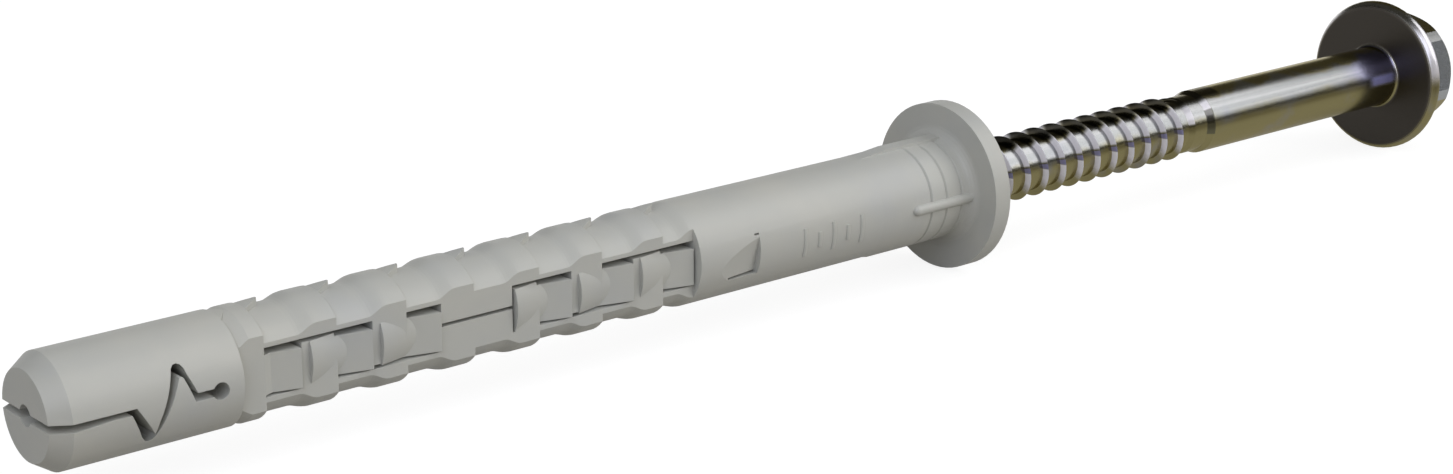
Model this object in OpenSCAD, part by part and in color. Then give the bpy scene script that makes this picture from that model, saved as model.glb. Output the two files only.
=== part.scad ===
// Frame fixing: a long nylon expansion sleeve with a collar, and the hexagon washer head screw that
// stands ready in it. The axis is X, with the tip at -X and the head at +X. The origin is on the axis,
// at the face of the collar that seats on the frame. The slotted flanks face -Y and +Y.

/* [Sleeve] */
// Length from the collar's seat to the tip, which is also the nominal length
sleeve_len = 80; // [78:1:120]
// Outer diameter, which is the drill size
sleeve_d = 8; // [7.6:0.1:10]
// Clearance between the screw's thread and the bore, on the radius
bore_gap = 0.14; // [0.1:0.02:0.3]
// Diameter of the narrow bore in the expansion zone, which the screw spreads
core_d = 3.2; // [2.4:0.1:3.4]
// Diameter of the small hole through the tip
tip_hole_d = 1.5; // [0.8:0.1:2]
// Diameter of the flat end of the tip
tip_face_d = 6.3; // [5:0.1:7]
// Length of the chamfer at the tip
tip_chamfer = 1.3; // [0.6:0.1:2]
// Length of the plain tip, up to the expansion zone
tip_len = 13.6; // [13:0.1:18]

/* [Collar] */
// Diameter of the collar
collar_d = 13.5; // [12:0.1:17]
// Thickness of the collar
collar_t = 1.6; // [1.2:0.1:3]
// Radius of the fillet between the sleeve and the collar
collar_fillet = 1.0; // [0.3:0.1:1.2]
// Length of the slightly thicker neck under the collar
neck_len = 9.5; // [8:0.1:12]
// How much the neck is thicker than the sleeve, on the radius
neck_rise = 0.07; // [0.04:0.01:0.2]
// Width and depth of the ring grooves on the neck
groove_size = [0.26, 0.16];
// Distances of the ring grooves from the collar's seat
groove_places = [4.4, 2.75, 1.1];
// Length and width of the rounded rib on each flank of the neck
side_rib = [6.4, 0.84];
// Length, width, height over the neck and length of the ramp of the rib on the top of the neck
top_rib = [9.0, 1.2, 0.19, 3.0];
// The same for the rib on the bottom of the neck
low_rib = [9.4, 1.2, 0.13, 1.3];
// Radius of the fillet between the ramped ribs and the collar
top_rib_fillet = 0.3; // [0.1:0.05:1]

/* [Expansion zone] */
// Distance between the walls of two teeth
tooth_pitch = 5.6; // [5.2:0.1:7]
// Depth of the valleys between the teeth
tooth_depth = 0.35; // [0.2:0.05:0.5]
// Length of the land at the top of a tooth
tooth_land = 1.55; // [0.8:0.05:1.7]
// Length of the ramp that leads up to the land
tooth_ramp = 1.55; // [0.8:0.05:1.7]
// Length of the first land, which joins the plain tip
first_land = 2.1; // [1.6:0.1:3]
// Depth of the flats on the two flanks below the sleeve's surface
flat_depth = 1.0; // [0.7:0.05:1.1]
// Width of the slots above and below the bars
slot_w = 0.3; // [0.2:0.05:0.4]
// Width of the bars between the slots
bar_w = 2.9; // [2.6:0.1:3.1]
// Length of a bar from its own wall to the wall of the tooth behind it
bar_len = 2.15; // [1.8:0.05:2.4]
// Length of the flat strip in front of a bar's wall
strip_len = 0.6; // [0.4:0.05:0.8]
// How far a bar's crest stands below the sleeve's surface
bar_drop = 0.6; // [0.4:0.05:0.8]
// Width of the cross gap at the free end of a finger
end_gap = 0.2; // [0.12:0.02:0.3]
// Width of the fingers
finger_w = 2.8; // [2.5:0.02:2.9]
// Offset of the fingers towards the lower slot
finger_shift = 0.17; // [0:0.01:0.22]
// Height of the slot in the split middle block
middle_slot_z = 0.13; // [0:0.01:0.2]
// Depth of a finger's root and of its raised free end below the sleeve's surface
finger_drop = [1.4, 0.67];
// Length and root width of the pointed barb behind each tooth, along the top
barb_size = [1.3, 1.6];
// Height of a barb over the sleeve's surface at its root and at its point
barb_rise = [-0.035, 0.24];
// Length and root width of the low barb that leads from the tip to the first land
first_barb_size = [0.9, 2.6];
// Height of the low barb over the sleeve's surface at its root and at its end
first_barb_rise = [-0.14, -0.06];

/* [Tip slit] */
// Width of the slit that splits the tip
slit_w = 0.58; // [0.4:0.02:0.7]
// Width of the slit just before its first bend, to which it narrows from the tip
slit_neck_w = 0.38; // [0.2:0.02:0.4]
// Height of the slit's middle above the middle of the tip
slit_z = -0.06; // [-0.2:0.02:0.1]
// Diameter of the round hole that ends the slit
slit_hole_d = 1.2; // [0.8:0.1:1.4]
// Height of the zigzag's upper and lower bends
slit_wave = 2.1; // [1.4:0.1:2.3]

/* [Pocket] */
// Distance from the expansion zone to the triangular pocket on each flank
pocket_gap = 2.85; // [2:0.05:5]
// Length and height of the pocket
pocket_size = [2.9, 2.9];
// How far the pocket reaches below the middle of the flank
pocket_low = 1.8; // [1.2:0.1:2.2]
// Wall left between the bore and the pocket's deepest corner
pocket_floor = 0.73; // [0.3:0.01:0.8]
// Height of the slot along the pocket's lower edge, and its depth below the sleeve's surface
pocket_slot = [0.18, 0.85];
// Length, height and depth of the nick above the pocket's top corner
pocket_nick = [0.45, 0.14, 0.5];

/* [Screw] */
// Length under the head
screw_len = 85; // [80:1:130]
// How far the screw's point stands in the mouth of the expansion zone
point_depth = 0.9; // [0.5:0.05:2]
// Diameter of the plain shank
shank_d = 5.5; // [5:0.1:6.6]
// Outer diameter of the rolled thread
thread_d = 5.52; // [5:0.02:6.6]
// Diameter of the thread's root
root_d = 4.52; // [4.2:0.02:4.8]
// Diameter and length of the plain rod between the thread and the cone
rod_size = [4.96, 1.6]; // [0.5:0.02:6]
// Length of the plain shank from the washer down
shank_len = 25.4; // [18:0.1:32]
// Length of the cone between the shank and the threaded part
shank_cone = 0.6; // [0.4:0.1:1.2]
// Length over which the thread's root runs out to the rod
thread_runout = 0.6; // [0.4:0.1:1.5]
// Length of the point
point_len = 4; // [3:0.1:6]
// Diameter of the point's blunt end
point_d = 0.6; // [0.4:0.1:1]

/* [Screw head] */
// Diameter of the washer
washer_d = 13.8; // [12:0.1:17]
// Thickness of the washer at its rim
rim_t = 1.0; // [0.9:0.1:1.8]
// Radius of the rounding between the washer's seat and its rim
seat_round = 0.7; // [0.3:0.05:0.8]
// Radius of the rounding at the back of the rim
rim_round = 0.2; // [0.1:0.05:0.4]
// Length of the washer's cone up to the hexagon
washer_cone = 0.6; // [0.3:0.1:1.2]
// Width across the flats of the hexagon
hex_w = 10; // [8:0.1:12]
// Height of the whole head
head_h = 5.45; // [4.6:0.05:7]
// Radius that rounds the hexagon's corners
corner_r = 5.5; // [5.2:0.05:6]
// Radius and length of the crown at the end of the hexagon
crown_size = [4.8, 1.0];
// Turn of the hexagon about the axis
hex_turn = 45; // [0:0.5:60]
// Radius of the fillet between the shank and the washer
head_fillet = 0.35; // [0.2:0.05:0.8]
// Diameter of the six lobed recess over its lobes
recess_d = 6.6; // [5:0.1:6.8]
// Depth of the recess
recess_depth = 2.6; // [1.6:0.1:3]

/* [Hidden] */
$fn = 96;

// The teeth lie behind a first land, and cell 3 holds a split block in place of a bar
tooth_count = 6;
block_cell = 3;
upper_cells = [2, 5];

sleeve_r = sleeve_d / 2;
neck_r = sleeve_r + neck_rise;
bore_r = max(shank_d, thread_d) / 2 + bore_gap;
core_r = core_d / 2;
valley_r = sleeve_r - tooth_depth;
flat_y = sleeve_r - flat_depth;
bar_r = sleeve_r - bar_drop;
bar_tail_r = sleeve_r - finger_drop[0] + 0.24;
bar_tail = 0.85;
root_y = sleeve_r - finger_drop[0];
end_y = sleeve_r - finger_drop[1];
bevel_len = 0.6;

tip_x = -sleeve_len;
zone_start_x = tip_x + tip_len;
finger_len = tooth_pitch - bar_len - strip_len - end_gap;
zone_x = wall_x(tooth_count) + finger_len + end_gap;
slot_top_z = bar_w / 2 + slot_w;
finger_top_z = finger_w / 2 - finger_shift;
finger_low_z = -finger_w / 2 - finger_shift;
slot_low_z = finger_low_z - slot_w / 2;
past = 0.01;
reach = 2 * sleeve_r;
inner_y = 0.6;

screw_point_x = zone_x - point_depth;
head_x = screw_point_x + screw_len;

// The narrow bore ends where its edge meets the cone of the screw's point, which rests in it
mouth_len = 2.0;
core_end_x = screw_point_x + point_len * (core_d - point_d) / (root_d - point_d);

// Distance of a tooth's wall from the seat, where tooth 0 is the first land
function wall_x(i) = zone_start_x + first_land + i * tooth_pitch;

// Outline of a smooth ramp of a given length from the valley up to the sleeve's surface at x
function ramp_outline(x, length, n = 6) = [
    for (i = [0:n]) [valley_r + tooth_depth * (1 - cos(180 * i / n)) / 2, x - length * (1 - i / n)]
];

// Outline of one tooth: ramp, land and wall
function tooth_outline(i) = concat(
    ramp_outline(wall_x(i) - tooth_land, tooth_ramp),
    [[sleeve_r, wall_x(i)], [valley_r, wall_x(i)]]
);

// Outline of a V groove round the neck
function groove_outline(x) = [
    [neck_r, -x - groove_size[0] / 2],
    [neck_r - groove_size[1], -x],
    [neck_r, -x + groove_size[0] / 2]
];

// Quarter of a concave fillet from a shaft of radius r to a face at x, with the shaft at -X
function fillet_outline(r, x, f, n = 6) =
    [for (i = [0:n]) [r + f * (1 - cos(90 * i / n)), x - f * (1 - sin(90 * i / n))]];

// Solid turned round the X axis from an outline of radius and distance
module turned(outline) {
    rotate([0, 90, 0]) rotate_extrude() polygon(outline);
}

// Flat outline in X and Z, run along Y between two distances
module across(y0, y1) {
    translate([0, y1, 0]) rotate([90, 0, 0]) linear_extrude(y1 - y0) children();
}

// A shape of the -Y flank together with its mirror image on the +Y flank
module both_flanks() {
    children();
    mirror([0, 1, 0]) children();
}

// Box between two corners
module block(low, high) {
    translate(low) cube(high - low);
}

// Outer form of the sleeve: tip, toothed zone, shank, neck and collar
module sleeve_outside() {
    turned(concat(
        [[0, tip_x], [tip_face_d / 2, tip_x], [sleeve_r, tip_x + tip_chamfer]],
        [[sleeve_r, zone_start_x], [valley_r, zone_start_x + 0.1]],
        [[sleeve_r, zone_start_x + 1.0], [sleeve_r, wall_x(0)], [valley_r, wall_x(0)]],
        [for (i = [1:tooth_count]) each tooth_outline(i)],
        ramp_outline(zone_x - 0.05, tooth_ramp),
        [[sleeve_r, -neck_len], [neck_r, -neck_len + 3.5]],
        [for (x = groove_places) each groove_outline(x)],
        fillet_outline(neck_r, 0, collar_fillet - 0.05),
        [[collar_d / 2, 0], [collar_d / 2, collar_t], [0, collar_t]]
    ));
}

// Stepped bore: wide for the screw, narrow in the expansion zone, fine at the tip
module sleeve_bore() {
    turned([
        [0, tip_x - 1],
        [tip_hole_d / 2, tip_x - 1],
        [tip_hole_d / 2, zone_start_x - 3],
        [core_r, zone_start_x - 0.5],
        [core_r, core_end_x],
        [bore_r, core_end_x + mouth_len],
        [bore_r, collar_t - 0.4],
        [bore_r + 0.4, collar_t + past],
        [0, collar_t + past]
    ]);
}

// Slit through the tip: straight, then two interlocking teeth, then a round end
module tip_slit() {
    top = slit_z + slit_w / 2;
    low = slit_z - slit_w / 2;
    neck = top - slit_neck_w;
    wave = slit_wave;
    across(-reach, reach) translate([tip_x, 0]) {
        polygon([
            [-1, top], [5.75, top], [7.2, 0.1 - wave], [7.4, 1.0 - wave], [8.6, wave],
            [8.8, wave + 0.18], [9.05, wave + 0.22], [9.3, wave + 0.1], [9.48, wave - 0.18],
            [9.56, wave - 0.5], [10.15, top], [11.85, top],
            [11.85, low], [9.98, low], [9.3, wave - 0.7], [9.14, wave - 0.58], [9.0, wave - 0.64],
            [7.3, -wave], [7.1, -wave - 0.3], [6.82, -wave - 0.42], [6.54, -wave - 0.3],
            [6.24, 0.1 - wave], [5.4, neck - 0.03], [4.2, neck], [2.7, (neck + low) / 2],
            [1.3, low + 0.02], [-1, low]
        ]);
        translate([11.85, slit_z]) circle(d = slit_hole_d);
    }
}

// One finger: rooted at the wall of tooth i and rising to its free end. The first one starts
// with a bevel from the flat of the first land
module finger(i) {
    root = wall_x(i);
    start = i == 0 ? [[root, -flat_y], [root + bevel_len, -root_y - 0.16]] : [[root, -root_y]];
    translate([0, 0, finger_low_z]) linear_extrude(finger_w) polygon(concat(
        [[root - 0.3, -inner_y], [root - 0.3, start[0][1]]],
        start,
        [[root + finger_len, -end_y], [root + finger_len, -inner_y]]
    ));
}

// One bar with its flat strip, its wall and its sloping crest, which runs out over the next finger
module bar(i) {
    wall = wall_x(i) - bar_len;
    tail = wall_x(i) + bar_tail;
    intersection() {
        turned([[0, wall], [bar_r, wall], [bar_tail_r, tail], [0, tail]]);
        union() {
            block([wall, -reach, -bar_w / 2], [wall_x(i), -inner_y, bar_w / 2]);
            block([wall, -reach, finger_low_z], [tail, -inner_y, finger_top_z]);
        }
    }
    if (i != block_cell + 1)
        block([wall - strip_len, -flat_y, -bar_w / 2], [wall + past, -inner_y, bar_w / 2]);
}

// Bridge that joins a bar to the upper or the lower leg, level with the flat of that leg
module bar_bridge(i, upper) {
    start = wall_x(i) - bar_len - (i == block_cell + 1 ? 0 : strip_len);
    low = upper ? 0 : slot_low_z - 0.1;
    high = upper ? slot_top_z + 0.1 : 0;
    block([start, -flat_y, low], [wall_x(i), -inner_y, high]);
}

// Split block in the middle cell: one half on each leg, with a slot between them
module middle_block() {
    start = wall_x(block_cell) - bar_len - strip_len;
    end = wall_x(block_cell + 1) - bar_len - end_gap;
    block([start, -flat_y, middle_slot_z + slot_w / 2], [end, -inner_y, slot_top_z + 0.1]);
    block([start, -flat_y, slot_low_z - 0.1], [end, -inner_y, middle_slot_z - slot_w / 2 + 0.05]);
}

// Barb on the top line from x on, pointed like an arrow head in plan
module barb(x, size, rise) {
    half = size[1] / 2;
    end = x + size[0];
    point = half * 0.1;
    intersection() {
        turned([
            [0, x - 0.5], [sleeve_r + rise[0], x - 0.5], [sleeve_r + rise[0], x],
            [sleeve_r + rise[1], end], [0, end]
        ]);
        translate([0, 0, valley_r - 1]) linear_extrude(reach)
            polygon([[x - 0.5, -half], [x, -half], [end, -point], [end, point], [x, half], [x - 0.5, half]]);
    }
}

// Everything that stands in the window between the two legs, on one flank
module flank_parts() {
    for (i = [0:tooth_count]) if (i != block_cell) finger(i);
    for (i = [1:tooth_count]) if (i != block_cell) {
        bar(i);
        bar_bridge(i, len(search(i, upper_cells)) > 0);
    }
    middle_block();
}

// Half round rib on the flank of the neck, with a rounded end
module flank_rib() {
    half = side_rib[1] / 2;
    translate([-side_rib[0], -neck_r + 0.03, 0]) turned(concat(
        [for (i = [0:5]) [half * sin(18 * i), half * (1 - cos(18 * i))]],
        [[half, side_rib[0] + past], [0, side_rib[0] + past]]
    ));
}

// Ramped rib on the top of the neck
module ridge(size) {
    top = neck_r + size[2];
    half = size[1] / 2;
    across(-half, half) polygon(concat(
        [[-size[0], sleeve_r - 0.5], [-size[0], sleeve_r - 0.02], [-size[0] + size[3], top]],
        [for (p = fillet_outline(top, 0, top_rib_fillet)) [p[1], p[0]]],
        [[past, sleeve_r - 0.5]]
    ));
}

// Point on the -Y side of a cylinder of radius r
function flank_point(x, z, r) = [x, -sqrt(r * r - z * z), z];

// Triangular pocket on the flank: a flat floor that comes out to the surface at its low corner and at
// its top corner, and is deepest in the third corner, low down towards the collar. A narrow slot runs
// along its lower edge, and a nick stands above its top corner
module pocket() {
    start = zone_x + pocket_gap;
    end = start + pocket_size[0];
    top = pocket_size[1] - pocket_low;
    low_corner = flank_point(start, -pocket_low, sleeve_r);
    top_corner = flank_point(end, top, sleeve_r);
    deep_corner = flank_point(end, -pocket_low, bore_r + pocket_floor);
    across_floor = cross(top_corner - low_corner, deep_corner - low_corner);
    normal = across_floor / norm(across_floor);
    intersection() {
        translate(low_corner) rotate([asin(normal[2]), 0, atan2(-normal[0], normal[1])])
            block([-reach, -reach, -reach], [reach, 0, reach]);
        block([start - 1, -reach, -pocket_low], [end, 0, top + 1]);
    }
    block(
        [start, -reach, -pocket_low],
        [end, low_corner[1] + pocket_slot[1], -pocket_low + pocket_slot[0]]
    );
    block(
        [end - pocket_nick[0], -reach, top + pocket_nick[1]],
        [end, top_corner[1] + pocket_nick[2], top + 2 * pocket_nick[1]]
    );
}

module sleeve() {
    color([0.72, 0.72, 0.70]) difference() {
        union() {
            difference() {
                sleeve_outside();
                both_flanks() block([zone_start_x, -reach, -reach], [zone_x, -flat_y, reach]);
                block([wall_x(0), -reach, slot_low_z], [zone_x, reach, slot_top_z]);
            }
            both_flanks() {
                flank_parts();
                flank_rib();
            }
            barb(zone_start_x, first_barb_size, first_barb_rise);
            for (i = [0:tooth_count]) barb(wall_x(i), barb_size, barb_rise);
            ridge(top_rib);
            rotate([180, 0, 0]) ridge(low_rib);
        }
        sleeve_bore();
        tip_slit();
        both_flanks() pocket();
    }
}

// Turned part of the screw: point, threaded part, shank and washer
module screw_body() {
    shank_r = shank_d / 2;
    washer_r = washer_d / 2;
    shank_end = head_x - shank_len;
    rim_end = head_x + rim_t;
    rod_r = rod_size[0] / 2;
    cone_x = shank_end - shank_cone;
    thread_end_x = cone_x - rod_size[1];
    turned(concat(
        [[0, screw_point_x], [point_d / 2, screw_point_x], [root_d / 2, screw_point_x + point_len]],
        [[root_d / 2, thread_end_x - thread_runout], [rod_r, thread_end_x], [rod_r, cone_x], [shank_r, shank_end]],
        fillet_outline(shank_r, head_x, head_fillet),
        [for (i = [0:8]) [
            washer_r - seat_round * (1 - sin(11.25 * i)), head_x + seat_round * (1 - cos(11.25 * i))
        ]],
        [for (i = [0:4]) [
            washer_r - rim_round * (1 - cos(22.5 * i)), rim_end - rim_round * (1 - sin(22.5 * i))
        ]],
        [[hex_w / 2 + 0.6, rim_end + washer_cone], [0, rim_end + washer_cone]]
    ));
}

// Hexagon with rounded corners and a sloping crown
module hexagon() {
    start = head_x + rim_t / 2;
    end = head_x + head_h;
    intersection() {
        translate([start, 0, 0]) rotate([hex_turn, 0, 0]) rotate([0, 90, 0])
            cylinder(r = hex_w / sqrt(3), h = end - start, $fn = 6);
        turned([
            [0, start], [corner_r, start], [corner_r, end - crown_size[1]], [crown_size[0], end], [0, end]
        ]);
    }
}

// Six lobed recess in the end of the hexagon
module recess() {
    lobe_r = recess_d / 8;
    translate([head_x + head_h - recess_depth, 0, 0]) rotate([hex_turn, 0, 0]) rotate([0, 90, 0])
        linear_extrude(recess_depth + past) {
            circle(r = recess_d / 2 - lobe_r);
            for (i = [0:5]) rotate(60 * i) translate([recess_d / 2 - lobe_r, 0]) circle(r = lobe_r);
        }
}

module screw() {
    color([0.62, 0.62, 0.60]) difference() {
        union() {
            screw_body();
            hexagon();
        }
        recess();
    }
}

sleeve();
screw();
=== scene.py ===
"""Frame fixing: a moulded nylon expansion sleeve with a zinc plated washer head screw in it.

All lengths are metres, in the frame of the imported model: the axis is X, the tip is at -X and the
screw's head at +X, and the origin lies on the axis in the plane of the collar's seat.
"""

import logging
import math
from dataclasses import dataclass, field
from enum import Enum
from typing import Any

import bpy
from mathutils import Matrix, Vector


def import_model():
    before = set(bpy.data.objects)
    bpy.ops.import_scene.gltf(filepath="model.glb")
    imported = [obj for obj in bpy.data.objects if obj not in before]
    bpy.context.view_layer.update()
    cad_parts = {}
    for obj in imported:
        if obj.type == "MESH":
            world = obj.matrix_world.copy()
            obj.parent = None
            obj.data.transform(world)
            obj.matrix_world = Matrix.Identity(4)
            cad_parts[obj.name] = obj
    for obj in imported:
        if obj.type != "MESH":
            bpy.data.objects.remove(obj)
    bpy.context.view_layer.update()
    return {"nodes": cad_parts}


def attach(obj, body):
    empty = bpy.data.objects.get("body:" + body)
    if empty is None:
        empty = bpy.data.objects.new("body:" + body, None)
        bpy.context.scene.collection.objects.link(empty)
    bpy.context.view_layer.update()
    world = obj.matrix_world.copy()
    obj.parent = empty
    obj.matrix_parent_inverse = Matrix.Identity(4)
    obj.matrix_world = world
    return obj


LOG = logging.getLogger("frame_fixing")
MM = 0.001
PHOTO_WIDTH = 1453.0
QUARTER_TURN = math.pi / 2.0

Colour = tuple[float, float, float]
Triple = tuple[float, float, float]
Nodes = bpy.types.NodeTree
Socket = bpy.types.NodeSocket
Inputs = dict[str, tuple[str, Any]]

# Places of the X, Y and Z parts in a list of three.
X, Y, Z = 0, 1, 2

# Socket types, for inputs and outputs that are made here.
FLOAT = "NodeSocketFloat"
WHOLE = "NodeSocketInt"
SWITCH = "NodeSocketBool"
VECTOR = "NodeSocketVector"
MATERIAL = "NodeSocketMaterial"
GEOMETRY = "NodeSocketGeometry"

# Places of the colour sockets of a Mix node, which has others of the same names.
MIX_SHARE, MIX_FIRST, MIX_SECOND, MIX_RESULT = 0, 6, 7, 2

WHITE: Colour = (1.0, 1.0, 1.0)

# The middle of a noise texture's values, and the grain values of the smoothest and roughest places.
NOISE_MEAN = 0.5
GRAIN_LOW, GRAIN_HIGH = 0.2, 0.8


class Slot(Enum):
    """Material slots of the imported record."""

    NYLON = "nylon"
    STEEL = "zinc_steel"


class Hand(Enum):
    """Hand of a screw thread, as the sign of its turn about +X."""

    RIGHT = 1
    LEFT = -1


@dataclass(frozen=True)
class Rise:
    """Values at which something starts to show and shows in full, and the share that full is."""

    start: float
    full: float
    share: float = 1.0


@dataclass(frozen=True)
class Zone:
    """Range of values in which something shows, and the width of the soft edges beside it."""

    low: float
    high: float
    soft: float


def opaque(colour: Colour) -> tuple[float, float, float, float]:
    """Returns a colour with full alpha, as colour sockets want it."""
    return (*colour, 1.0)


class Wiring:
    """Short calls that put nodes in a tree and join them."""

    column_width: int = 40
    row_height: int = 160
    rows: int = 8

    def __init__(self, tree: Nodes) -> None:
        """Keeps the tree that the calls work on."""
        self.tree = tree
        self.made = 0

    def node(self, kind: str, inputs: dict[Any, Any] | None = None, **settings: Any) -> bpy.types.Node:
        """Adds one node.

        Args:
            kind: the node's bl_idname.
            inputs: input name or index to a plain value or to the socket that feeds it.
            settings: attributes of the node, such as its operation.

        Returns:
            The new node.
        """
        new = self.tree.nodes.new(kind)
        new.location = (self.made * self.column_width, -(self.made % self.rows) * self.row_height)
        self.made += 1
        for name, value in settings.items():
            setattr(new, name, value)
        for name, value in (inputs or {}).items():
            if isinstance(value, Socket):
                self.tree.links.new(value, new.inputs[name])
            else:
                new.inputs[name].default_value = value
        return new

    def out(self, kind: str, inputs: dict[Any, Any] | None = None, **settings: Any) -> Socket:
        """Adds one node, as node() does, and returns its first output."""
        return self.node(kind, inputs, **settings).outputs[0]

    def group(self, group: Nodes, inputs: dict[Any, Any]) -> Any:
        """Places a node group with its own values, and returns its outputs."""
        return self.node("ShaderNodeGroup", inputs, node_tree=group).outputs

    def math(self, operation: str, first: Any, second: Any) -> Socket:
        """Returns the output of a Math node with two inputs."""
        return self.out("ShaderNodeMath", {0: first, 1: second}, operation=operation)

    def product(self, first: Any, *others: Any) -> Any:
        """Returns the product of the values."""
        for other in others:
            first = self.math("MULTIPLY", first, other)
        return first

    def largest(self, first: Any, *others: Any) -> Any:
        """Returns the largest of the values."""
        for other in others:
            first = self.math("MAXIMUM", first, other)
        return first

    def ramp(self, value: Any, low: Any, high: Any, to_low: float = 0.0, to_high: float = 1.0) -> Socket:
        """Maps a value smoothly from one range to another.

        Args:
            value: the value.
            low: the value that gives to_low.
            high: the value that gives to_high, above or below low.
            to_low: the result at low and on its far side.
            to_high: the result at high and on its far side.

        Returns:
            The result.
        """
        return self.out(
            "ShaderNodeMapRange",
            {"Value": value, "From Min": low, "From Max": high, "To Min": to_low, "To Max": to_high},
            interpolation_type="SMOOTHSTEP",
        )

    def rise(self, value: Socket, rise: Rise) -> Socket:
        """Returns 0 at the rise's start, and its share where it is full."""
        return self.ramp(value, rise.start, rise.full, 0.0, rise.share)

    def zone(self, value: Socket, zone: Zone) -> Socket:
        """Returns 1 in the zone, falling to 0 over its soft edges."""
        from_low = self.ramp(value, zone.low - zone.soft, zone.low)
        return self.product(from_low, self.ramp(value, zone.high + zone.soft, zone.high))

    def blend(self, share: Any, first: Any, second: Any) -> Socket:
        """Mixes two colours.

        Args:
            share: how much of the second colour shows.
            first: the first colour, or its socket.
            second: the second colour, or its socket.

        Returns:
            The mixed colour.
        """
        ends = [end if isinstance(end, Socket) else opaque(end) for end in (first, second)]
        inputs = {MIX_SHARE: share, MIX_FIRST: ends[0], MIX_SECOND: ends[1]}
        return self.node("ShaderNodeMix", inputs, data_type="RGBA").outputs[MIX_RESULT]

    def vector(self, x: Any = 0.0, y: Any = 0.0, z: Any = 0.0) -> Socket:
        """Returns a vector put together from its parts."""
        return self.out("ShaderNodeCombineXYZ", {X: x, Y: y, Z: z})

    def parts(self, vector: Socket) -> Any:
        """Returns the X, Y and Z parts of a vector."""
        return self.node("ShaderNodeSeparateXYZ", {0: vector}).outputs


def add_inputs(tree: Nodes, inputs: Inputs) -> dict[str, str]:
    """Adds named inputs to a node tree.

    Args:
        tree: the tree.
        inputs: input name to its socket type and default value.

    Returns:
        Input name to socket identifier.
    """
    identifiers = {}
    for label, (kind, value) in inputs.items():
        socket = tree.interface.new_socket(name=label, in_out="INPUT", socket_type=kind)
        if value is not None:
            socket.default_value = value
        identifiers[label] = socket.identifier
    return identifiers


def new_group(name: str, inputs: Inputs, outputs: tuple[str, ...]) -> tuple[Nodes, Wiring, Any]:
    """Makes a shader node group with named sockets and nothing between them.

    Args:
        name: the group's name.
        inputs: input name to its socket type and default value.
        outputs: the names of the outputs, which are all numbers.

    Returns:
        The group, its wiring and the sockets of its inputs.
    """
    group = bpy.data.node_groups.new(name, "ShaderNodeTree")
    add_inputs(group, inputs)
    for label in outputs:
        group.interface.new_socket(name=label, in_out="OUTPUT", socket_type=FLOAT)
    wiring = Wiring(group)
    return group, wiring, wiring.node("NodeGroupInput").outputs


def cloud_group() -> Nodes:
    """Makes the shared group for broad cloudiness and fine grain, or finds it.

    Its outputs are Cloud, a slow tone that wanders over the piece, and Grain, a fine height.

    Returns:
        The group.
    """
    name = "cloud and grain"
    if name in bpy.data.node_groups:
        return bpy.data.node_groups[name]
    group, wiring, given = new_group(
        name,
        {
            "Vector": (VECTOR, None),
            "Cloud Scale": (FLOAT, 120.0),
            "Grain Scale": (FLOAT, 4000.0),
            "Contrast": (FLOAT, 1.0),
        },
        ("Cloud", "Grain"),
    )
    broad = wiring.out(
        "ShaderNodeTexNoise",
        {"Vector": given["Vector"], "Scale": given["Cloud Scale"], "Detail": 3.0, "Roughness": 0.55},
    )
    spread = wiring.product(wiring.math("SUBTRACT", broad, NOISE_MEAN), given["Contrast"])
    grain = wiring.out(
        "ShaderNodeTexNoise",
        {"Vector": given["Vector"], "Scale": given["Grain Scale"], "Detail": 2.0, "Roughness": 0.6},
    )
    wiring.node("NodeGroupOutput", {"Cloud": wiring.math("ADD", spread, NOISE_MEAN), "Grain": grain})
    return group


def streak_group() -> Nodes:
    """Makes the shared group for fine lines that run along the X axis, or finds it.

    Its output is Streaks, a mask from 0 to 1.

    Returns:
        The group.
    """
    name = "axial streaks"
    if name in bpy.data.node_groups:
        return bpy.data.node_groups[name]
    group, wiring, given = new_group(
        name,
        {
            "Vector": (VECTOR, None),
            "Length Scale": (FLOAT, 60.0),
            "Width Scale": (FLOAT, 2500.0),
        },
        ("Streaks",),
    )
    scale = wiring.vector(given["Length Scale"], given["Width Scale"], given["Width Scale"])
    stretched = wiring.out("ShaderNodeVectorMath", {0: given["Vector"], 1: scale}, operation="MULTIPLY")
    noise = wiring.out(
        "ShaderNodeTexNoise", {"Vector": stretched, "Scale": 1.0, "Detail": 2.0, "Roughness": 0.5}
    )
    streak_edge = Rise(0.3, 0.7)
    wiring.node("NodeGroupOutput", {"Streaks": wiring.rise(noise, streak_edge)})
    return group


def turn_group() -> Nodes:
    """Makes the shared group for the height of a place on a round piece about the X axis, or finds it.

    Its output is Height: 1 on the top line, 0 at the height of the axis and -1 on the bottom line.

    Returns:
        The group.
    """
    name = "height on the round"
    if name in bpy.data.node_groups:
        return bpy.data.node_groups[name]
    group, wiring, given = new_group(name, {"Vector": (VECTOR, None)}, ("Height",))
    across_the_axis = (0.0, 1.0, 1.0)
    spoke = wiring.out(
        "ShaderNodeVectorMath", {0: given["Vector"], 1: across_the_axis}, operation="MULTIPLY"
    )
    outward = wiring.out("ShaderNodeVectorMath", {0: spoke}, operation="NORMALIZE")
    wiring.node("NodeGroupOutput", {"Height": wiring.parts(outward)[Z]})
    return group


@dataclass(frozen=True)
class Site:
    """What a material knows of the place that it colours, on a round piece about the X axis.

    Faces are the parts of the surface's normal, and height is the height on the round: they run
    from -1 to 1. Along is the place's distance along the axis.
    """

    place: Socket
    along: Socket
    height: Socket
    faces: Any

    @classmethod
    def read(cls, wiring: Wiring) -> "Site":
        """Adds the nodes that tell of a place, and returns them as a site."""
        given = wiring.node("ShaderNodeTexCoord").outputs
        place = given["Object"]
        height = wiring.group(turn_group(), {"Vector": place})["Height"]
        return cls(place, wiring.parts(place)[X], height, wiring.parts(given["Normal"]))


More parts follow.
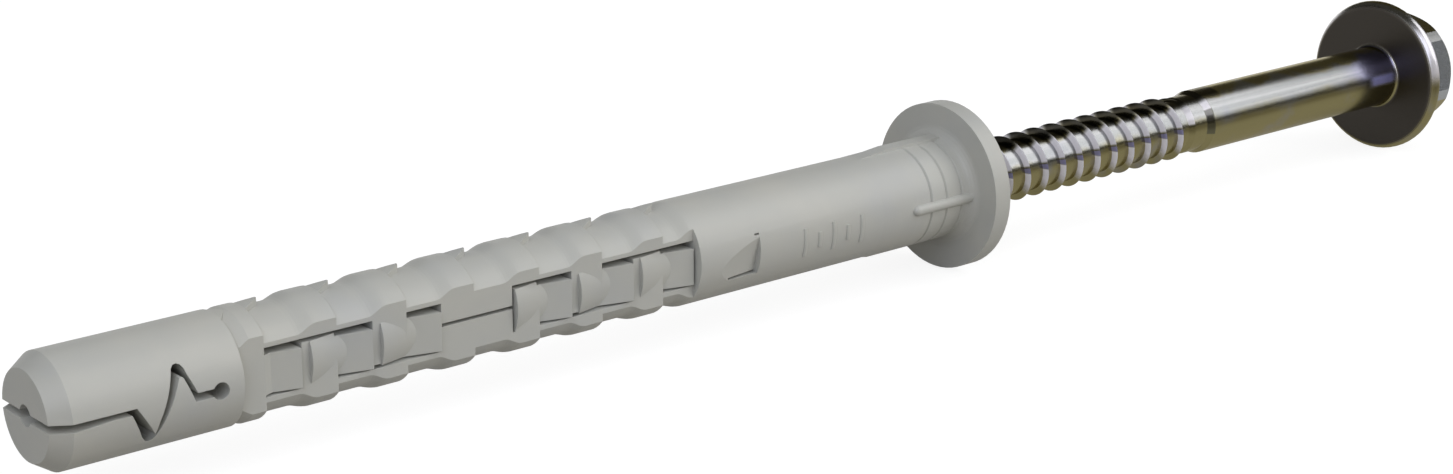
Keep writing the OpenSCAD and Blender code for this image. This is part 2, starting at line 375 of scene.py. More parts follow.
def new_material(name: str) -> tuple[bpy.types.Material, Wiring]:
    """Makes a material with no nodes in it.

    Args:
        name: the material's name.

    Returns:
        The material and its wiring.
    """
    material = bpy.data.materials.new(name)
    material.use_nodes = True
    material.node_tree.nodes.clear()
    return material, Wiring(material.node_tree)


@dataclass(frozen=True)
class MouldedNylon:
    """Light grey moulded nylon: satin, a little cloudy, with fine spark eroded grain."""

    name: str = "moulded nylon"
    plain: Colour = (0.495, 0.495, 0.462)
    warm: Colour = (0.560, 0.545, 0.490)
    cool: Colour = (0.450, 0.460, 0.465)
    warm_clouds: Rise = Rise(0.45, 1.0, 0.5)
    cool_clouds: Rise = Rise(0.55, 0.0, 0.6)
    warm_flow: Rise = Rise(0.5, 1.0, 0.12)
    smoothest: float = 0.37
    roughest: float = 0.48
    edge_radius: float = 0.045 * MM
    edge_samples: int = 6
    grain_depth: float = 0.004 * MM

    def material(self) -> bpy.types.Material:
        """Builds the finish, or finds it where it exists.

        Returns:
            The material.
        """
        if self.name in bpy.data.materials:
            return bpy.data.materials[self.name]
        material, wiring = new_material(self.name)
        place = wiring.node("ShaderNodeTexCoord").outputs["Object"]
        clouds = wiring.group(
            cloud_group(), {"Vector": place, "Cloud Scale": 140.0, "Grain Scale": 9000.0, "Contrast": 1.6}
        )
        flow = wiring.group(streak_group(), {"Vector": place, "Length Scale": 25.0, "Width Scale": 420.0})
        tone = wiring.blend(wiring.rise(clouds["Cloud"], self.warm_clouds), self.plain, self.warm)
        tone = wiring.blend(wiring.rise(clouds["Cloud"], self.cool_clouds), tone, self.cool)
        tone = wiring.blend(wiring.rise(flow["Streaks"], self.warm_flow), tone, self.warm)
        rough = wiring.ramp(clouds["Grain"], GRAIN_LOW, GRAIN_HIGH, self.smoothest, self.roughest)
        rounded = wiring.out("ShaderNodeBevel", {"Radius": self.edge_radius}, samples=self.edge_samples)
        bump = wiring.out(
            "ShaderNodeBump",
            {"Strength": 0.5, "Distance": self.grain_depth, "Height": clouds["Grain"], "Normal": rounded},
        )
        shader = wiring.out(
            "ShaderNodeBsdfPrincipled",
            {
                "Base Color": tone,
                "Roughness": rough,
                "Normal": bump,
                "IOR": 1.53,
                "Subsurface Weight": 0.05,
                "Subsurface Radius": (0.9, 0.85, 0.75),
                "Subsurface Scale": 0.5 * MM,
            },
        )
        wiring.node("ShaderNodeOutputMaterial", {0: shader})
        return material


@dataclass(frozen=True)
class ZincSteel:
    """Bright zinc plated steel, cloudy blue in places, with painted light: reflections, highlights, shade.

    Painted reflection makes faces turned down olive and faces turned up neutral, and the zinc's
    violet tint by the washer lies only on the upper side. The thread's flanks towards the tip carry
    a pale painted highlight. Fields named place, places or span are places along the axis, heights
    are heights on the round, and faces say how far the surface faces +X, or +Y for the hexagon's
    painted front side. A cover is how much of a paint's colour shows, and a plain value how far the
    paint hides the metal.
    """

    name: str = "zinc plated steel"
    # Olive and neutral are laid by which way a face turns, as painted reflection.
    olive: Colour = (0.32, 0.285, 0.140)
    neutral: Colour = (0.37, 0.375, 0.385)
    blue: Colour = (0.28, 0.29, 0.38)
    # Painted reflection: darker streaks on faces turned up.
    streak_reflection: Colour = (0.235, 0.250, 0.255)
    # The zinc's violet tint by the washer, laid only on faces turned up as painted reflection.
    violet: Colour = (0.19, 0.18, 0.42)
    # Painted reflection: a pale bluish front side on the hexagon, less metallic.
    slate_reflection: Colour = (0.50, 0.54, 0.62)
    # Painted shade: a near-black top line along the thread.
    painted_top_shade: Colour = (0.030, 0.027, 0.020)
    # Painted highlight: pale flanks of the thread towards the tip, and the washer's rim.
    flank: Colour = (0.96, 0.93, 1.0)
    # Painted reflection: the top ends of the flank highlights, and a spot before the washer.
    lilac_reflection: Colour = (0.34, 0.34, 0.72)
    # Painted shade on the cone at the end of the thread.
    painted_cone_shade: Colour = (0.105, 0.108, 0.085)
    # Painted shade: the washer's seat face, which is also made rougher.
    painted_seat_shade: Colour = (0.075, 0.068, 0.060)
    grazing: Colour = (0.92, 0.88, 0.74)

    thread_end_place: float = 33.0 * MM
    streak_end_place: float = 27.9 * MM
    seat_place: float = 56.15 * MM
    hexagon_place: float = 57.9 * MM

    cloud_sway: float = 0.35
    neutral_from: Rise = Rise(0.0, 0.5)
    neutral_to: Rise = Rise(0.98, 0.84)
    neutral_faces: Rise = Rise(0.45, 0.90, 0.8)
    blue_clouds: Rise = Rise(0.6, 1.2, 0.6)
    streak_reflection_rise: Rise = Rise(0.45, 0.95, 0.45)
    violet_places: Rise = Rise(48.0 * MM, 54.5 * MM, 0.7)

    slate_faces: Rise = Rise(-0.85, -0.95, 0.8)
    painted_top_shade_heights: Rise = Rise(0.86, 0.94, 0.9)
    flank_faces: Rise = Rise(-0.18, -0.42, 0.95)
    low_flank_top: Rise = Rise(0.08, 0.0)
    low_flank_foot: Rise = Rise(-0.75, -0.30)
    high_flank_foot: Rise = Rise(0.20, 0.31)
    high_flank_top: Rise = Rise(0.90, 0.78)
    streak_top_faces: Rise = Rise(-0.18, -0.42, 0.65)
    streak_top_heights: Zone = Zone(0.07, 0.18, 0.06)
    cone_span: Zone = Zone(30.20 * MM, 30.95 * MM, 0.05 * MM)
    cone_heights: Zone = Zone(-0.18, 0.58, 0.05)
    lilac_span: Zone = Zone(53.2 * MM, 55.4 * MM, 1.1 * MM)
    lilac_heights: Zone = Zone(0.10, 0.24, 0.18)
    rim_span: Zone = Zone(56.2 * MM, 57.3 * MM, 0.05 * MM)
    rim_faces: Rise = Rise(-0.96, -0.80)
    rim_heights: Zone = Zone(0.24, 0.66, 0.24)
    seat_faces: Rise = Rise(-0.75, -0.98)

    cone_cover: float = 0.75
    lilac_cover: float = 0.8
    rim_cover: float = 0.8
    flank_plain: float = 0.95
    slate_plain: float = 0.25
    lilac_plain: float = 0.45
    streak_top_plain: float = 0.9
    rim_plain: float = 0.60

    smoothest: float = 0.17
    roughest: float = 0.25
    seat_roughness: float = 0.14
    line_depth: float = 0.002 * MM

    def material(self) -> bpy.types.Material:
        """Builds the finish, or finds it where it exists.

        Returns:
            The material.
        """
        if self.name in bpy.data.materials:
            return bpy.data.materials[self.name]
        material, wiring = new_material(self.name)
        site = Site.read(wiring)
        clouds = wiring.group(
            cloud_group(),
            {"Vector": site.place, "Cloud Scale": 260.0, "Grain Scale": 6000.0, "Contrast": 2.2},
        )
        lines = wiring.group(
            streak_group(), {"Vector": site.place, "Length Scale": 90.0, "Width Scale": 3800.0}
        )
        masks = self.paint_masks(wiring, site)
        fine = wiring.ramp(clouds["Grain"], GRAIN_LOW, GRAIN_HIGH, self.smoothest, self.roughest)
        shader = wiring.out(
            "ShaderNodeBsdfPrincipled",
            {
                "Base Color": self.painted(wiring, self.plating(wiring, site, clouds["Cloud"]), masks),
                "Roughness": wiring.math("ADD", fine, wiring.product(masks["seat"], self.seat_roughness)),
                "Metallic": wiring.math("SUBTRACT", 1.0, self.plain_share(wiring, masks)),
                "Specular Tint": opaque(self.grazing),
                "Normal": wiring.out(
                    "ShaderNodeBump",
                    {"Strength": 0.35, "Distance": self.line_depth, "Height": lines["Streaks"]},
                ),
            },
        )
        wiring.node("ShaderNodeOutputMaterial", {0: shader})
        return material

    def plating(self, wiring: Wiring, site: Site, cloud: Socket) -> Socket:
        """Gives the plating its tones and its painted reflections, before the other paints.

        Args:
            wiring: the material's wiring.
            site: the place that is coloured.
            cloud: the slow tone that wanders over the piece.

        Returns:
            The tone.
        """
        # Painted reflection: faces turned down or straight up stay olive, faces turned up at a slant or
        # towards +X turn neutral, and the cloud moves the edges.
        sway = wiring.product(wiring.math("SUBTRACT", cloud, NOISE_MEAN), self.cloud_sway)
        upward = wiring.math("ADD", site.faces[Z], sway)
        upper = wiring.product(
            wiring.rise(upward, self.neutral_from), wiring.rise(upward, self.neutral_to)
        )
        upper = wiring.largest(upper, wiring.rise(site.faces[X], self.neutral_faces))
        tone = wiring.blend(upper, self.olive, self.neutral)
        tone = wiring.blend(wiring.rise(cloud, self.blue_clouds), tone, self.blue)
        # Painted reflection: darker axial streaks in the reflected highlight, laid only on faces turned up.
        bands = wiring.group(
            streak_group(), {"Vector": site.place, "Length Scale": 18.0, "Width Scale": 1300.0}
        )
        reflected_streaks = wiring.product(wiring.rise(bands["Streaks"], self.streak_reflection_rise), upper)
        tone = wiring.blend(reflected_streaks, tone, self.streak_reflection)
        # Painted reflection: the violet tint by the washer lies only on faces turned up.
        before_seat = wiring.math("LESS_THAN", site.along, self.seat_place)
        violet_tint_and_reflection = wiring.product(wiring.rise(site.along, self.violet_places), upper, before_seat)
        return wiring.blend(violet_tint_and_reflection, tone, self.violet)

    def paint_masks(self, wiring: Wiring, site: Site) -> dict[str, Socket]:
        """Finds how strongly each painted highlight, reflection or shade lies on a place.

        Args:
            wiring: the material's wiring.
            site: the place that is coloured.

        Returns:
            Paint name to its mask, from 0 to 1.
        """
        threaded = wiring.math("LESS_THAN", site.along, self.thread_end_place)
        streaked = wiring.math("LESS_THAN", site.along, self.streak_end_place)
        on_hexagon = wiring.math("GREATER_THAN", site.along, self.hexagon_place)
        from_seat = wiring.math("GREATER_THAN", site.along, self.seat_place)
        return {
            # Painted reflection on the hexagon's front side.
            "slate_reflection": wiring.product(wiring.rise(site.faces[Y], self.slate_faces), on_hexagon),
            # Painted shade along the thread's top line.
            "painted_top_shade": wiring.product(wiring.rise(site.height, self.painted_top_shade_heights), threaded),
            # Painted highlight on the thread's flanks that face the tip, below and above the axis.
            "flank": wiring.product(self.flank_mask(wiring, site, streaked), threaded),
            # Painted reflection at the top end of each flank highlight.
            "streak top": wiring.product(
                wiring.rise(site.faces[X], self.streak_top_faces),
                threaded,
                wiring.zone(site.height, self.streak_top_heights),
                streaked,
            ),
            # Painted shade on the cone at the end of the thread.
            "cone": wiring.product(
                wiring.zone(site.along, self.cone_span), wiring.zone(site.height, self.cone_heights)
            ),
            # Painted reflection on the shank just before the washer.
            "lilac_reflection": wiring.product(
                wiring.zone(site.along, self.lilac_span), wiring.zone(site.height, self.lilac_heights)
            ),
            # Painted highlight on the washer's rim, in the pale highlight colour.
            "rim": wiring.product(
                wiring.zone(site.along, self.rim_span),
                wiring.rise(site.faces[X], self.rim_faces),
                wiring.zone(site.height, self.rim_heights),
            ),
            # Painted shade on the washer's seat face; it is also rougher.
            "seat": wiring.product(from_seat, wiring.rise(site.faces[X], self.seat_faces)),
        }

    def flank_mask(self, wiring: Wiring, site: Site, streaked: Socket) -> Socket:
        """Finds how strongly the painted highlight lies on a flank of the thread.

        Args:
            wiring: the material's wiring.
            site: the place that is coloured.
            streaked: 1 on the turns that are pale below the axis too, and 0 past them.

        Returns:
            The mask, from 0 to the share of flank_faces.
        """
        low = wiring.product(
            wiring.rise(site.height, self.low_flank_top),
            wiring.rise(site.height, self.low_flank_foot),
            streaked,
        )
        high = wiring.product(
            wiring.rise(site.height, self.high_flank_foot), wiring.rise(site.height, self.high_flank_top)
        )
        return wiring.product(wiring.rise(site.faces[X], self.flank_faces), wiring.math("ADD", low, high))

    def painted(self, wiring: Wiring, tone: Socket, masks: dict[str, Socket]) -> Socket:
        """Lays the painted highlights, reflections and shade over a tone, one over the other.

        Args:
            wiring: the material's wiring.
            tone: the tone under them.
            masks: paint name to its mask.

        Returns:
            The painted tone.
        """
        # Each paint here is painted light: reflections, highlights and shade laid into the colour.
        for name, cover, colour in (
            ("slate_reflection", 1.0, self.slate_reflection),
            ("painted_top_shade", 1.0, self.painted_top_shade),
            ("flank", 1.0, self.flank),
            ("streak top", 1.0, self.lilac_reflection),
            ("cone", self.cone_cover, self.painted_cone_shade),
            ("lilac_reflection", self.lilac_cover, self.lilac_reflection),
            ("rim", self.rim_cover, self.flank),
            ("seat", 1.0, self.painted_seat_shade),
        ):
            tone = wiring.blend(wiring.product(masks[name], cover), tone, colour)
        return tone

    def plain_share(self, wiring: Wiring, masks: dict[str, Socket]) -> Socket:
        """Finds how far the painted highlights and reflections hide the bare metal.

        Args:
            wiring: the material's wiring.
            masks: paint name to its mask.

        Returns:
            The share, which the painted shade on the cone brings back to 0.
        """
        # Painted highlights and reflections are made less metallic so that they stay pale, except where the
        # cone's painted shade is.
        plain = wiring.math(
            "ADD",
            wiring.product(masks["flank"], self.flank_plain),
            wiring.product(masks["slate_reflection"], self.slate_plain),
        )
        plain = wiring.math("SUBTRACT", plain, wiring.product(masks["cone"], plain))
        plain = wiring.math("ADD", plain, wiring.product(masks["lilac_reflection"], self.lilac_plain))
        plain = wiring.largest(plain, wiring.product(masks["streak top"], self.streak_top_plain))
        return wiring.math("ADD", plain, wiring.product(masks["rim"], self.rim_plain))


@dataclass(frozen=True)
class PaleFloor:
    """Plain pale floor that shows white and keeps the object's soft shadow.

    On the Y axis, gloss sees it white too, by gloss_share, behind dim_from, and plain before dim_to.
    """

    name: str = "pale floor"
    bounce: Colour = (0.36, 0.340, 0.295)
    glow: float = 0.87
    shadow_share: float = 0.26
    gloss_share: float = 0.34
    dim_from: float = -10 * MM
    dim_to: float = -36 * MM

    def material(self) -> bpy.types.Material:
        """Builds the finish.

        Returns:
            The material.
        """
        material, wiring = new_material(self.name)
        rays = wiring.node("ShaderNodeLightPath").outputs
        place = wiring.node("ShaderNodeTexCoord").outputs["Object"]
        glossy = wiring.ramp(wiring.parts(place)[Y], self.dim_from, self.dim_to, self.gloss_share, 0.0)
        glossy = wiring.product(rays["Is Glossy Ray"], glossy)
        seen = wiring.largest(rays["Is Camera Ray"], glossy, rays["Is Transmission Ray"])
        plain = wiring.out("ShaderNodeBsdfDiffuse", {"Color": opaque(self.bounce)})
        faint = wiring.out("ShaderNodeBsdfDiffuse", {"Color": opaque((self.shadow_share,) * 3)})
        glow = wiring.out("ShaderNodeEmission", {"Color": opaque(WHITE), "Strength": self.glow})
        white = wiring.out("ShaderNodeAddShader", {0: faint, 1: glow})
        mixed = wiring.out("ShaderNodeMixShader", {0: seen, 1: plain, 2: white})
        wiring.node("ShaderNodeOutputMaterial", {0: mixed})
        return material


class Pattern:
    """A Geometry Nodes tree with named inputs, which makes a piece for each set of sizes."""

    def __init__(self, name: str, inputs: Inputs) -> None:
        """Makes the tree with its inputs and its one output, and nothing between them.

        Args:
            name: the tree's name.
            inputs: input name to its socket type and default value.
        """
        self.tree = bpy.data.node_groups.new(name, "GeometryNodeTree")
        self.identifiers = add_inputs(self.tree, inputs)
        self.tree.interface.new_socket(name="Geometry", in_out="OUTPUT", socket_type=GEOMETRY)
        self.wiring = Wiring(self.tree)
        self.given = self.wiring.node("NodeGroupInput").outputs

    def close(self, geometry: Socket) -> None:
        """Makes the geometry real, gives it the finish that is put in, and puts it out."""
        real = self.wiring.out("GeometryNodeRealizeInstances", {"Geometry": geometry})
        dressed = self.wiring.out(
            "GeometryNodeSetMaterial", {"Geometry": real, "Material": self.given["Finish"]}
        )
        self.wiring.node("NodeGroupOutput", {0: dressed})

    def grow(self, name: str, values: dict[str, Any]) -> bpy.types.Object:
        """Runs the tree once and keeps its result as a plain mesh object.

        Args:
            name: the new piece's name.
            values: input name to its value.

        Returns:
            The piece, at the origin, with no modifier left on it.
        """
        piece = bpy.data.objects.new(name, bpy.data.meshes.new(name))
        bpy.context.scene.collection.objects.link(piece)
        modifier = piece.modifiers.new("grow", "NODES")
        modifier.node_group = self.tree
        for label, value in values.items():
            modifier[self.identifiers[label]] = value
        bpy.context.view_layer.update()
        graph = bpy.context.evaluated_depsgraph_get()
        mesh = bpy.data.meshes.new_from_object(piece.evaluated_get(graph), depsgraph=graph)
        piece.modifiers.remove(modifier)
        piece.data = mesh
        mesh.name = name
        return piece


def helix(wiring: Wiring, given: Any, thinness: Socket) -> Socket:
    """Winds the path of a ridge about the Z axis.

    Args:
        wiring: the pattern's wiring.
        given: the sockets of the pattern's inputs.
        thinness: how thick the ridge is at a place on the path, with 1 for its full size.

    Returns:
        The path.
    """
    path = wiring.out(
        "GeometryNodeCurveSpiral",
        {
            "Resolution": given["Points Per Turn"],
            "Rotations": given["Turns"],
            "Start Radius": given["Path Radius"],
            "End Radius": given["Path Radius"],
            "Height": wiring.product(given["Pitch"], given["Turns"]),
            "Reverse": given["Right Hand"],
        },
    )
    upright = wiring.out("GeometryNodeSetCurveNormal", {"Curve": path}, mode="Z_UP")
    return wiring.out("GeometryNodeSetCurveRadius", {"Curve": upright, "Radius": thinness})


def ridge_profile(wiring: Wiring, given: Any) -> Socket:
    """Draws the outline of a ridge, which stands outwards from its path on either hand.

    Args:
        wiring: the pattern's wiring.
        given: the sockets of the pattern's inputs.

    Returns:
        The outline.
    """
    ridge = wiring.out(
        "GeometryNodeCurvePrimitiveQuadrilateral",
        {
            "Bottom Width": given["Foot Width"],
            "Top Width": given["Crest Width"],
            "Height": given["Ridge Height"],
            "Offset": 0.0,
        },
        mode="TRAPEZOID",
    )
    eased = wiring.out(
        "GeometryNodeFilletCurve", {"Curve": ridge, "Radius": given["Corner Radius"], "Count": 3}, mode="POLY"
    )
    # The side is 1 for a right hand thread and -1 for a left hand one. The lift is half the height.
    side = wiring.math("SUBTRACT", wiring.product(given["Right Hand"], 2.0), 1.0)
    lift = wiring.product(given["Ridge Height"], 0.5, side)
    return wiring.out(
        "GeometryNodeTransform",
        {
            "Geometry": eased,
            "Rotation": wiring.vector(z=wiring.product(side, -QUARTER_TURN)),
            "Translation": wiring.vector(x=lift),
        },
    )


def rolled_thread() -> Pattern:
    """Builds the pattern that sweeps an eased ridge along a helix about the X axis.

    Returns:
        The pattern.
    """
    pattern = Pattern(
        "rolled thread",
        {
            "Pitch": (FLOAT, 2.0 * MM),
            "Turns": (FLOAT, 10.0),
            "Path Radius": (FLOAT, 2.4 * MM),
            "Foot Width": (FLOAT, 0.7 * MM),
            "Crest Width": (FLOAT, 0.1 * MM),
            "Ridge Height": (FLOAT, 0.5 * MM),
            "Corner Radius": (FLOAT, 0.04 * MM),
            "Start": (FLOAT, 0.0),
            "Phase": (FLOAT, 0.0),
            "Runout": (FLOAT, 0.03),
            "Thinnest": (FLOAT, 0.04),
            "Points Per Turn": (WHOLE, 64),
            "Right Hand": (SWITCH, True),
            "Finish": (MATERIAL, None),
        },
    )
    wiring, given = pattern.wiring, pattern.given
    along = wiring.node("GeometryNodeSplineParameter").outputs["Factor"]
    ends = [wiring.ramp(end, 0.0, given["Runout"]) for end in (along, wiring.math("SUBTRACT", 1.0, along))]
    thinness = wiring.largest(wiring.product(*ends), given["Thinnest"])
    swept = wiring.out(
        "GeometryNodeCurveToMesh",
        {
            "Curve": helix(wiring, given, thinness),
            "Profile Curve": ridge_profile(wiring, given),
            "Scale": thinness,
            "Fill Caps": True,
        },
    )
    smooth = wiring.out("GeometryNodeSetShadeSmooth", {"Geometry": swept})
    turned = wiring.out(
        "GeometryNodeTransform", {"Geometry": smooth, "Rotation": wiring.vector(z=given["Phase"])}
    )
    laid = wiring.out(
        "GeometryNodeTransform",
        {
            "Geometry": turned,
            "Rotation": (0.0, QUARTER_TURN, 0.0),
            "Translation": wiring.vector(x=given["Start"]),
        },
    )
    pattern.close(laid)
    return pattern


def raised_strokes() -> Pattern:
    """Builds the pattern that sets a row of raised strokes round a cylinder about the X axis.

    Returns:
        The pattern.
    """
    pattern = Pattern(
        "raised strokes",
        {
            "Radius": (FLOAT, 4.0 * MM),
            "Start Angle": (FLOAT, 0.0),
            "Sweep": (FLOAT, 0.5),
            "Half Width": (FLOAT, 0.1 * MM),
            "Rise": (FLOAT, 0.05 * MM),
            "Count": (WHOLE, 3),
            "First": (FLOAT, 0.0),
            "Step": (FLOAT, 1.0 * MM),
            "Finish": (MATERIAL, None),
        },
    )
    wiring, given = pattern.wiring, pattern.given
    arc = wiring.out(
        "GeometryNodeCurveArc",
        {
            "Resolution": 14,
            "Radius": given["Radius"],
            "Start Angle": given["Start Angle"],
            "Sweep Angle": given["Sweep"],
        },
    )
    circle = wiring.out("GeometryNodeCurvePrimitiveCircle", {"Resolution": 12, "Radius": 1.0})
    size = wiring.vector(given["Rise"], given["Half Width"], 1.0)
    profile = wiring.out("GeometryNodeTransform", {"Geometry": circle, "Scale": size})
    swept = wiring.out(
        "GeometryNodeCurveToMesh", {"Curve": arc, "Profile Curve": profile, "Fill Caps": True}
    )
    smooth = wiring.out("GeometryNodeSetShadeSmooth", {"Geometry": swept})
    standing = wiring.out(
        "GeometryNodeTransform", {"Geometry": smooth, "Rotation": (QUARTER_TURN, 0.0, QUARTER_TURN)}
    )
    row = wiring.out(
        "GeometryNodeMeshLine",
        {
            "Count": given["Count"],
            "Start Location": wiring.vector(x=given["First"]),
            "Offset": wiring.vector(x=given["Step"]),
        },
    )
    pattern.close(wiring.out("GeometryNodeInstanceOnPoints", {"Points": row, "Instance": standing}))
    return pattern


def dress(piece: bpy.types.Object, material: bpy.types.Material) -> None:
    """Gives a piece one material."""
    piece.data.materials.clear()
    piece.data.materials.append(material)


@dataclass
class Sleeve:
    """The moulded sleeve: its CAD solid, and the plain raised strokes on its flank."""

    finish: MouldedNylon = field(default_factory=MouldedNylon)
    surface_radius: float = 4.0 * MM
    stroke_middle: float = math.radians(184.0)
    long_sweep: float = math.radians(32.0)
    long_count: int = 3
    short_sweep: float = math.radians(17.0)
    short_count: int = 2
    stroke_half_width: float = 0.18 * MM
    stroke_rise: float = 0.12 * MM
    first_stroke: float = -17.6 * MM
    stroke_step: float = 2.9 * MM

    def build(self, nodes: dict[str, bpy.types.Object]) -> None:
        """Dresses the CAD solid and adds the strokes, with each short one midway between two long ones.

        Args:
            nodes: CAD node name to its object.
        """
        material = self.finish.material()
        dress(nodes["sleeve"], material)
        LOG.info("sleeve: dressed in %s", material.name)
        strokes = raised_strokes()
        rows = (
            ("long_strokes", self.long_sweep, self.long_count, self.first_stroke),
            ("short_strokes", self.short_sweep, self.short_count, self.first_stroke + self.stroke_step / 2),
        )
        for name, sweep, count, first in rows:
            sizes = {
                "Radius": self.surface_radius,
                "Start Angle": self.stroke_middle - sweep / 2,
                "Sweep": sweep,
                "Half Width": self.stroke_half_width,
                "Rise": self.stroke_rise,
                "Count": count,
                "First": first,
                "Step": self.stroke_step,
                "Finish": material,
            }
            piece = strokes.grow(name, sizes)
            dress(piece, material)
            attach(piece, "root")
            LOG.info("%s: %d faces", name, len(piece.data.polygons))


@dataclass
class Screw:
    """The zinc plated screw: its CAD solid, and the ridge of its rolled thread.

    The ridge's foot is sunk a little way into the thread's root.
    """

    finish: ZincSteel = field(default_factory=ZincSteel)
    hand: Hand = Hand.RIGHT
    pitch: float = 2.079 * MM
    root_radius: float = 2.26 * MM
    crest_radius: float = 2.77 * MM
    foot_sunk: float = 0.06 * MM
    foot_width: float = 0.40 * MM
    crest_width: float = 0.06 * MM
    corner_radius: float = 0.02 * MM
    thread_start: float = -24.2 * MM
    thread_end: float = 28.9 * MM
    top_crest: float = 9.64 * MM
    runout_turns: float = 0.6
    thinnest: float = 0.04
    points_per_turn: int = 72

    def build(self, nodes: dict[str, bpy.types.Object]) -> None:
        """Dresses the CAD solid and adds the thread's ridge.

        Args:
            nodes: CAD node name to its object.
        """
        material = self.finish.material()
        dress(nodes["screw"], material)
        LOG.info("screw: dressed in %s", material.name)
        turns = (self.thread_end - self.thread_start) / self.pitch
        path_radius = self.root_radius - self.foot_sunk
        sizes = {
            "Pitch": self.pitch,
            "Turns": turns,
            "Path Radius": path_radius,
            "Foot Width": self.foot_width,
            "Crest Width": self.crest_width,
            "Corner Radius": self.corner_radius,
            "Ridge Height": self.crest_radius - path_radius,
            "Start": self.thread_start,
            "Phase": self.phase(),
            "Runout": self.runout_turns / turns,
            "Thinnest": self.thinnest,
            "Points Per Turn": self.points_per_turn,
            "Right Hand": self.hand is Hand.RIGHT,
            "Finish": material,
        }
        piece = rolled_thread().grow("thread", sizes)
        dress(piece, material)
        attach(piece, "root")
        LOG.info("thread: %d faces over %.1f turns", len(piece.data.polygons), turns)

    def phase(self) -> float:
        """Returns the turn about the axis that brings a crest to the top line at top_crest."""
        turns_to_top = (self.top_crest - self.thread_start) / self.pitch
        return math.pi - 2.0 * math.pi * turns_to_top * self.hand.value


@dataclass(frozen=True)
class Lamp:
    """One area lamp that looks at the middle of the object, with its height laid along top."""

    name: str
    place: Triple
    width: float
    height: float
    watts: float
    colour: Colour = WHITE
    shows_in_gloss: bool = True
    top: Triple = (0.0, 0.0, 1.0)

    def hang(self, aim: Vector) -> None:
        """Makes the lamp and turns it.

        Args:
            aim: the place that it looks at.
        """
        light = bpy.data.lights.new(self.name, "AREA")
        light.shape = "RECTANGLE"
        light.size = self.width
        light.size_y = self.height
        light.energy = self.watts
        light.color = self.colour
        lamp = bpy.data.objects.new(self.name, light)
        bpy.context.scene.collection.objects.link(lamp)
        lamp.location = self.place
        back = (Vector(self.place) - aim).normalized()
        side = Vector(self.top).cross(back).normalized()
        lamp.rotation_euler = Matrix((side, back.cross(side), back)).transposed().to_euler()
        lamp.visible_glossy = self.shows_in_gloss


@dataclass(frozen=True)
class Panel:
    """White panel round the room, which only gloss sees.

    Each edge is an axis and the rise, along it, of the directions that see the panel.
    """

    name: str
    edges: tuple[tuple[int, Rise], ...]

    def mask(self, wiring: Wiring, towards: Any) -> Socket:
        """Returns 1 in the directions that see the panel, and 0 beside it."""
        return wiring.product(*(wiring.rise(towards[axis], edge) for axis, edge in self.edges))


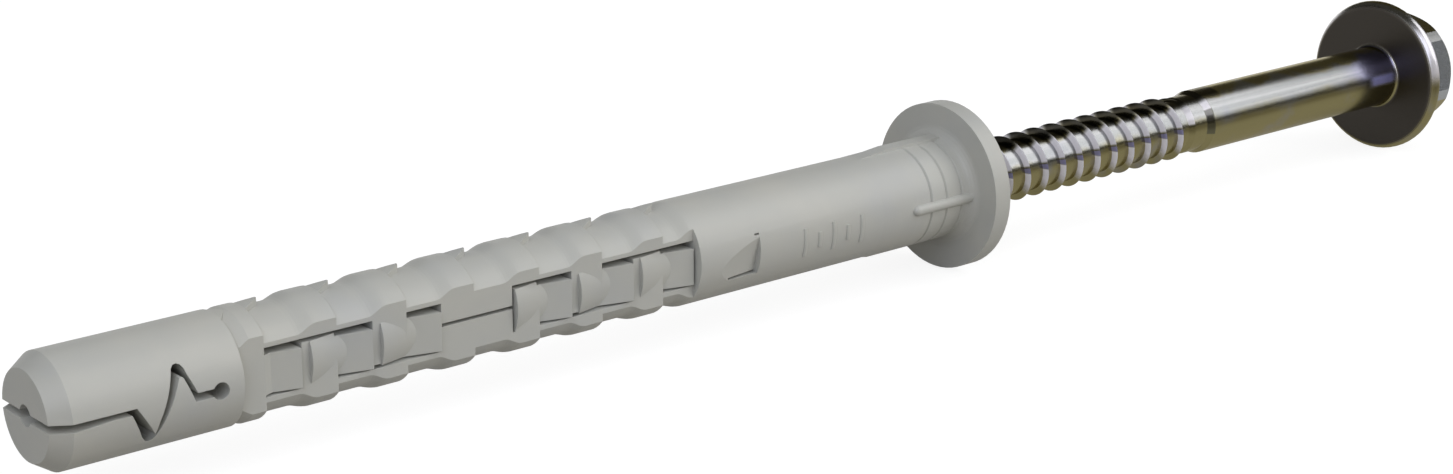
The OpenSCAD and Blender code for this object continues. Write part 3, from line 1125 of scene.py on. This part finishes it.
@dataclass
class Studio:
    """Pale floor, soft lamps, dim room with white panels, and the camera at the photograph's angle."""

    floor_finish: PaleFloor = field(default_factory=PaleFloor)
    floor_half: float = 3.0
    rest_height: float = -6.92 * MM
    camera_place: Triple = (-0.153136, -0.155867, 0.064153)
    camera_aim: Triple = (0.61387, 0.73023, -0.29989)
    focal_pixels: float = 2816.6
    sensor: float = 36.0
    clip_start: float = 0.01
    aim: Triple = (-0.01, 0.0, 0.0)
    fill: Colour = (0.28, 0.28, 0.28)
    room: Colour = (0.075, 0.070, 0.052)
    lamps: tuple[Lamp, ...] = (
        Lamp(
            "key",
            (0.614, -0.490, 0.618),
            width=0.60,
            height=1.00,
            watts=3.75,
            top=(0.0, 0.784, 0.621),
        ),
        Lamp(
            "window",
            (-0.790, -0.670, 0.600),
            width=0.70,
            height=0.70,
            watts=2.85,
            colour=(0.80, 0.85, 1.0),
        ),
        Lamp(
            "top left",
            (-0.310, -0.090, 0.510),
            width=0.40,
            height=0.40,
            watts=0.77,
            colour=(0.94, 0.97, 1.0),
            shows_in_gloss=False,
        ),
        Lamp(
            "front",
            (0.140, -0.540, 0.210),
            width=0.40,
            height=0.30,
            watts=0.75,
            colour=(1.0, 0.99, 0.97),
            shows_in_gloss=False,
        ),
    )
    panels: tuple[Panel, ...] = (
        Panel("behind", ((Y, Rise(-0.1, 0.4)), (Z, Rise(0.30, 0.12)))),
        Panel("tip side", ((X, Rise(-0.76, -0.88)), (Z, Rise(-0.3, -0.1)))),
        Panel(
            "overhead",
            (
                (X, Rise(-0.75, -0.60)),
                (X, Rise(0.50, 0.30)),
                (Z, Rise(0.40, 0.52)),
                (Z, Rise(0.88, 0.78)),
                (Y, Rise(-0.2, -0.4)),
            ),
        ),
    )

    def build(self) -> None:
        """Builds the floor, the lamps, the world and the camera."""
        self.lay_floor()
        for lamp in self.lamps:
            lamp.hang(Vector(self.aim))
            LOG.info("lamp %s", lamp.name)
        self.set_world()
        self.set_camera()
        bpy.context.scene.view_settings.view_transform = "Standard"

    def lay_floor(self) -> None:
        """Lays the floor at the height that the object rests on."""
        half = self.floor_half
        mesh = bpy.data.meshes.new("floor")
        corners = [(-half, -half), (half, -half), (half, half), (-half, half)]
        mesh.from_pydata([(x, y, self.rest_height) for x, y in corners], [], [(0, 1, 2, 3)])
        floor = bpy.data.objects.new("floor", mesh)
        bpy.context.scene.collection.objects.link(floor)
        dress(floor, self.floor_finish.material())
        LOG.info("floor at z = %.2f mm", self.rest_height / MM)

    def set_world(self) -> None:
        """Shows white to the camera, fills the shade evenly, and gives gloss the panels in a dim room."""
        world = bpy.data.worlds.new("studio")
        bpy.context.scene.world = world
        world.use_nodes = True
        world.node_tree.nodes.clear()
        wiring = Wiring(world.node_tree)
        towards = wiring.parts(wiring.node("ShaderNodeTexCoord").outputs["Generated"])
        white = wiring.largest(*(panel.mask(wiring, towards) for panel in self.panels))
        rays = wiring.node("ShaderNodeLightPath").outputs
        colour = wiring.blend(rays["Is Glossy Ray"], self.fill, wiring.blend(white, self.room, WHITE))
        seen = wiring.largest(rays["Is Camera Ray"], rays["Is Transmission Ray"])
        colour = wiring.blend(seen, colour, WHITE)
        background = wiring.out("ShaderNodeBackground", {"Color": colour, "Strength": 1.0})
        wiring.node("ShaderNodeOutputWorld", {0: background})
        LOG.info("white panels: %s", ", ".join(panel.name for panel in self.panels))

    def set_camera(self) -> None:
        """Sets the camera at the photograph's viewing angle."""
        data = bpy.data.cameras.new("camera")
        data.sensor_width = self.sensor
        data.lens = self.sensor * self.focal_pixels / PHOTO_WIDTH
        data.clip_start = self.clip_start
        camera = bpy.data.objects.new("camera", data)
        bpy.context.scene.collection.objects.link(camera)
        camera.location = self.camera_place
        camera.rotation_euler = Vector(self.camera_aim).to_track_quat("-Z", "Y").to_euler()
        bpy.context.scene.camera = camera
        LOG.info("camera with a %.1f mm lens", data.lens)


def main() -> None:
    """Builds the studio and both pieces."""
    logging.basicConfig(level=logging.INFO, format="%(name)s: %(message)s")
    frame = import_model()
    Studio().build()
    Sleeve().build(frame["nodes"])
    Screw().build(frame["nodes"])


if __name__ == "__main__":
    main()
